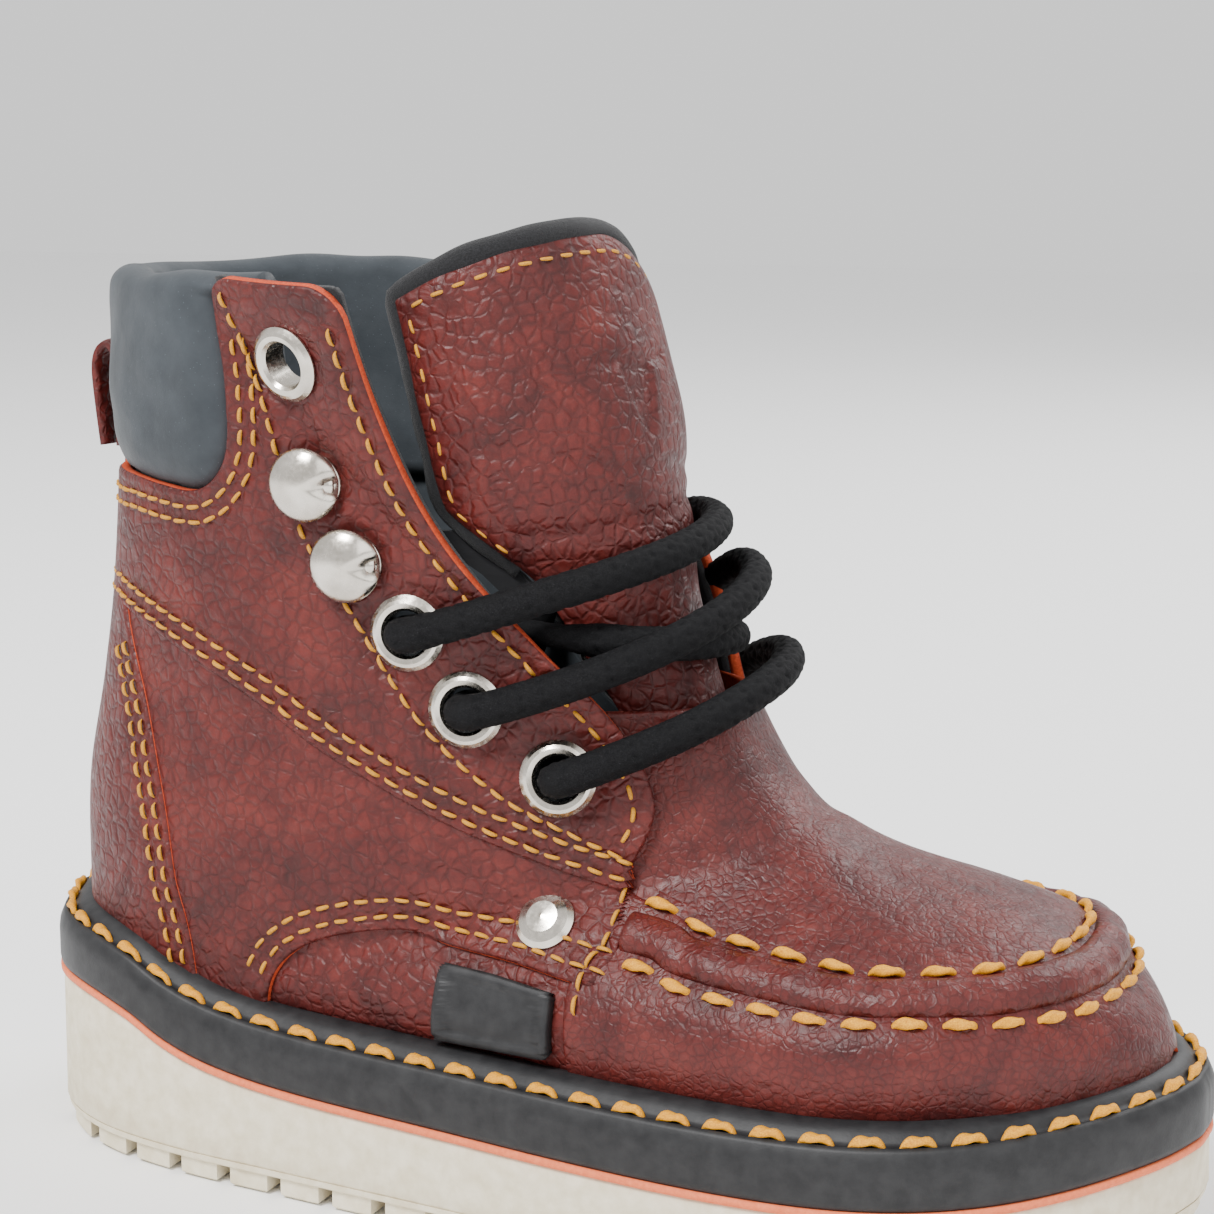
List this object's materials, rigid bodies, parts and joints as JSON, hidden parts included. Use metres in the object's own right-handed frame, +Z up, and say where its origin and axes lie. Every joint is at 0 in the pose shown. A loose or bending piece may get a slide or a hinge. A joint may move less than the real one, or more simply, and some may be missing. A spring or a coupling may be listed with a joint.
{
  "type": "lace-up work boot",
  "caption": "Child-size lace-up ankle work boot: moc toe over a steel cap, padded collar, folding tongue, eyelets, speed hooks, heel loop, wedge sole.",
  "frame": {"origin": "centre of the boot's bounding box, on the ground under the sole", "axes": "+X towards the toe, +Z up, -Y towards the outer side of a right foot"},
  "size_m": [0.1804, 0.0777, 0.138],
  "materials": {
    "leather": "pebbled oxblood leather, waxed",
    "leather_plug": "smooth oxblood leather",
    "collar_fabric": "slate microfibre over foam",
    "felt": "black felt",
    "nickel": "nickel plate, slightly warm",
    "steel": "pressed steel",
    "rubber_black": "matt black rubber",
    "sole_stripe": "orange rubber sheet",
    "sole_cream": "cream foamed rubber",
    "thick_thread": "waxed gold thread",
    "board": "pressed fibre board",
    "lace_black": "round braid",
    "aglet_plastic": "clear black tip"
  },
  "bodies": {
    "boot": {"outsole": "sole_cream", "midsole": "sole_cream", "stripe": "sole_stripe", "rand": "rubber_black", "rand_stitching": "thick_thread", "shank": "steel", "insole_board": "board", "footbed": "felt", "vamp_plug": "leather_plug", "vamp_wall": "leather", "moc_ridge": "leather", "moc_stitching": "thick_thread", "toe_cap": "steel", "heel_stiffener": "board", "vamp_lining": "felt", "quarter_lining_lateral": "collar_fabric", "quarter_lining_medial": "collar_fabric", "interlining_lateral": "felt", "interlining_medial": "felt", "quarter_upper_lateral": "leather", "quarter_upper_medial": "leather", "quarter_lower_lateral": "leather", "quarter_lower_medial": "leather", "side_panel_lateral": "leather", "side_panel_medial": "leather", "heel_patch": "leather", "side_badge": "rubber_black", "collar_pad": "collar_fabric", "lower_eyelets": "nickel", "eyelet_washers": "nickel", "speed_hooks": "nickel", "rivet_caps": "nickel", "rivet_burrs": "nickel", "tongue_lower": "leather", "gusset_lateral": "felt", "gusset_medial": "felt", "loop_anchor": "leather", "lace": "lace_black", "lace_end_low": "lace_black", "lace_end_high": "lace_black", "aglets": "aglet_plastic"},
    "lateral_flap": {"flap_lateral": "leather", "flap_backing_lateral": "felt", "top_eyelet_lateral": "nickel"},
    "medial_flap": {"flap_medial": "leather", "flap_backing_medial": "felt", "top_eyelet_medial": "nickel"},
    "tongue_top": {"tongue_upper": "leather", "tongue_badge": "leather"},
    "heel_loop": {"pull_loop": "leather"}
  },
  "joints": [
    {"name": "tongue_fold", "type": "hinge", "parent": "boot", "child": "tongue_top", "pos_m": [0.0114, 0, 0.1], "axis": [0, 1, 0], "range_deg": [0, 35], "stiffness_Nm_per_rad": 0.02},
    {"name": "loop_tilt", "type": "hinge", "parent": "boot", "child": "heel_loop", "pos_m": [-0.081, 0, 0.1038], "axis": [0, -1, 0], "range_deg": [0, 60], "stiffness_Nm_per_rad": 0.002},
    {"name": "lateral_flap_open", "type": "hinge", "parent": "boot", "child": "lateral_flap", "pos_m": [-0.0485, -0.0314, 0.1297], "axis": [0.6632, 0.092, -0.7428], "range_deg": [-12, 15], "stiffness_Nm_per_rad": 0.01},
    {"name": "medial_flap_open", "type": "hinge", "parent": "boot", "child": "medial_flap", "pos_m": [-0.0485, 0.0314, 0.1297], "axis": [-0.6632, 0.092, 0.7428], "range_deg": [-12, 15], "stiffness_Nm_per_rad": 0.01}
  ]
}
